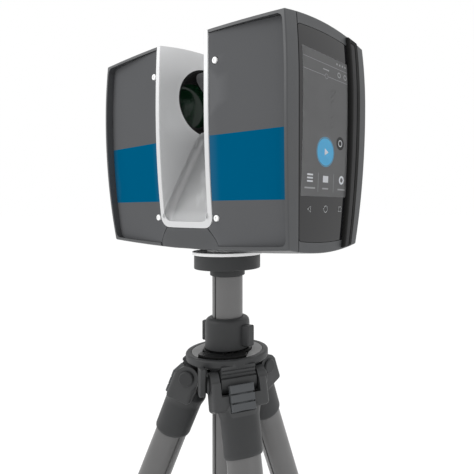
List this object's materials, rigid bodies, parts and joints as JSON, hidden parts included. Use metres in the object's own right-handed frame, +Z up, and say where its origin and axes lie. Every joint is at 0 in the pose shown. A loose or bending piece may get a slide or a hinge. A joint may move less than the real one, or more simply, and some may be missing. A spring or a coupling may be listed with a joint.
{
  "type": "terrestrial laser scanner",
  "caption": "Two-tower laser scanner with a spinning mirror between the towers, on a folding three-leg tripod with a rising column.",
  "frame": {"origin": "on the floor, under the middle of the whole object's box with the legs spread and pushed in", "axes": "+Z up, +X towards the tower with the display, -Y towards the front panels; the scanner's own turning axis stands at x -4.4 mm, y -52.0 mm"},
  "size_m": [0.4084, 0.3648, 0.7828],
  "materials": {
    "casing": "fine moulded texture, dark grey",
    "panel": "fine moulded texture, grey with a blue band",
    "bridge": "fine moulded texture, grey",
    "silver": "satin silver coating",
    "black": "black, low gloss",
    "grip": "black, glossy edge strip",
    "glass": "coated glass",
    "steel": "machined",
    "mirror": "optical mirror",
    "board": "circuit board",
    "copper": "wound copper and brass",
    "casting": "painted casting, dark grey",
    "tube": "grey anodised tube",
    "tab": "ribbed grey plastic",
    "disc": "matt light grey",
    "rubber": "black rubber"
  },
  "bodies": {
    "tripod": {"tripod_spider": "casting", "spider_disc": "disc", "lock_seat": "black", "leg_1_hinge_pin": "casting", "leg_2_hinge_pin": "casting", "leg_3_hinge_pin": "casting"},
    "column": {"centre_column": "tube", "column_flange": "casting", "mounting_screw": "steel", "base_plate": "silver"},
    "head": {"base_housing": "casing", "battery": "black", "channel_liner": "silver", "channel_ridge": "silver", "display_glass": "glass", "display_module": "steel", "front_bridge_cover": "bridge", "grip_strip": "grip", "laser_module": "copper", "left_front_panel": "panel", "left_rear_panel": "panel", "left_shell": "casing", "lens_shroud": "black", "lens_window": "glass", "main_board": "board", "mirror_motor": "copper", "pan_bearing": "steel", "pan_motor": "copper", "rear_bridge_cover": "bridge", "receiver_barrel": "steel", "right_front_panel": "panel", "right_rear_panel": "panel", "right_shell": "casing", "shaft_bearing": "steel"},
    "collar": {"lock_collar": "casting"},
    "mirror": {"mirror_rotor": "casing", "mirror_glass": "mirror", "rotor_shaft": "steel"},
    "battery_door": {"battery_door": "casing", "door_hinge_pin": "steel"},
    "door_latch": {"door_latch": "black"},
    "power_button": {"power_button": "steel"},
    "leg_1": {"leg_1_casting": "casting", "leg_1_upper_tube": "tube"},
    "leg_1_tab": {"leg_1_angle_tab": "tab"},
    "leg_1_lock": {"leg_1_twist_lock": "rubber"},
    "leg_1_lower": {"leg_1_lower_tube": "tube", "leg_1_foot": "rubber"},
    "leg_2": {"leg_2_casting": "casting", "leg_2_upper_tube": "tube"},
    "leg_2_tab": {"leg_2_angle_tab": "tab"},
    "leg_2_lock": {"leg_2_twist_lock": "rubber"},
    "leg_2_lower": {"leg_2_lower_tube": "tube", "leg_2_foot": "rubber"},
    "leg_3": {"leg_3_casting": "casting", "leg_3_upper_tube": "tube"},
    "leg_3_tab": {"leg_3_angle_tab": "tab"},
    "leg_3_lock": {"leg_3_twist_lock": "rubber"},
    "leg_3_lower": {"leg_3_lower_tube": "tube", "leg_3_foot": "rubber"}
  },
  "joints": [
    {"name": "column_slide", "type": "slide", "parent": "tripod", "child": "column", "axis": [0, 0, 1], "range_m": [-0.028, 0.12]},
    {"name": "collar_twist", "type": "hinge", "parent": "tripod", "child": "collar", "pos_m": [-0.0044, -0.05153, 0.53], "axis": [0, 0, 1], "range_deg": [0, 60]},
    {"name": "head_pan", "type": "hinge", "parent": "column", "child": "head", "pos_m": [-0.0044, -0.05153, 0.6], "axis": [0, 0, 1], "continuous": true},
    {"name": "mirror_spin", "type": "hinge", "parent": "head", "child": "mirror", "pos_m": [-0.0044, -0.05153, 0.737], "axis": [1, 0, 0], "continuous": true},
    {"name": "door_swing", "type": "hinge", "parent": "head", "child": "battery_door", "pos_m": [-0.11775, -0.05153, 0.7058], "axis": [0, 1, 0], "range_deg": [0, 100]},
    {"name": "latch_slide", "type": "slide", "parent": "battery_door", "child": "door_latch", "axis": [0, 0, 1], "range_m": [0, 0.003], "stiffness_N_per_m": 200},
    {"name": "button_press", "type": "slide", "parent": "head", "child": "power_button", "axis": [1, 0, 0], "range_m": [0, 0.0012], "stiffness_N_per_m": 800},
    {"name": "leg_1_fold", "type": "hinge", "parent": "tripod", "child": "leg_1", "pos_m": [0.02171, -0.06527, 0.491], "axis": [0.4656, 0.885, 0], "range_deg": [0, 12]},
    {"name": "leg_1_tab_pull", "type": "slide", "parent": "leg_1", "child": "leg_1_tab", "axis": [0.8219, -0.4324, 0.3709], "range_m": [0, 0.004], "stiffness_N_per_m": 400},
    {"name": "leg_1_lock_twist", "type": "hinge", "parent": "leg_1", "child": "leg_1_lock", "pos_m": [0.16908, -0.14281, 0.07402], "axis": [0.3282, -0.1727, -0.9287], "range_deg": [0, 90]},
    {"name": "leg_1_extend", "type": "slide", "parent": "leg_1", "child": "leg_1_lower", "axis": [0.3282, -0.1727, -0.9287], "range_m": [0, 0.26]},
    {"name": "leg_2_fold", "type": "hinge", "parent": "tripod", "child": "leg_2", "pos_m": [-0.00556, -0.02206, 0.491], "axis": [-0.9992, -0.0393, 0], "range_deg": [0, 12]},
    {"name": "leg_2_tab_pull", "type": "slide", "parent": "leg_2", "child": "leg_2_tab", "axis": [-0.0365, 0.928, 0.3709], "range_m": [0, 0.004], "stiffness_N_per_m": 400},
    {"name": "leg_2_lock_twist", "type": "hinge", "parent": "leg_2", "child": "leg_2_lock", "pos_m": [-0.01209, 0.14434, 0.07402], "axis": [-0.0146, 0.3706, -0.9287], "range_deg": [0, 90]},
    {"name": "leg_2_extend", "type": "slide", "parent": "leg_2", "child": "leg_2_lower", "axis": [-0.0146, 0.3706, -0.9287], "range_m": [0, 0.26]},
    {"name": "leg_3_fold", "type": "hinge", "parent": "tripod", "child": "leg_3", "pos_m": [-0.02935, -0.06728, 0.491], "axis": [0.5336, -0.8457, 0], "range_deg": [0, 12]},
    {"name": "leg_3_tab_pull", "type": "slide", "parent": "leg_3", "child": "leg_3_tab", "axis": [-0.7854, -0.4956, 0.3709], "range_m": [0, 0.004], "stiffness_N_per_m": 400},
    {"name": "leg_3_lock_twist", "type": "hinge", "parent": "leg_3", "child": "leg_3_lock", "pos_m": [-0.17018, -0.15614, 0.07402], "axis": [-0.3137, -0.1979, -0.9287], "range_deg": [0, 90]},
    {"name": "leg_3_extend", "type": "slide", "parent": "leg_3", "child": "leg_3_lower", "axis": [-0.3137, -0.1979, -0.9287], "range_m": [0, 0.26]}
  ]
}
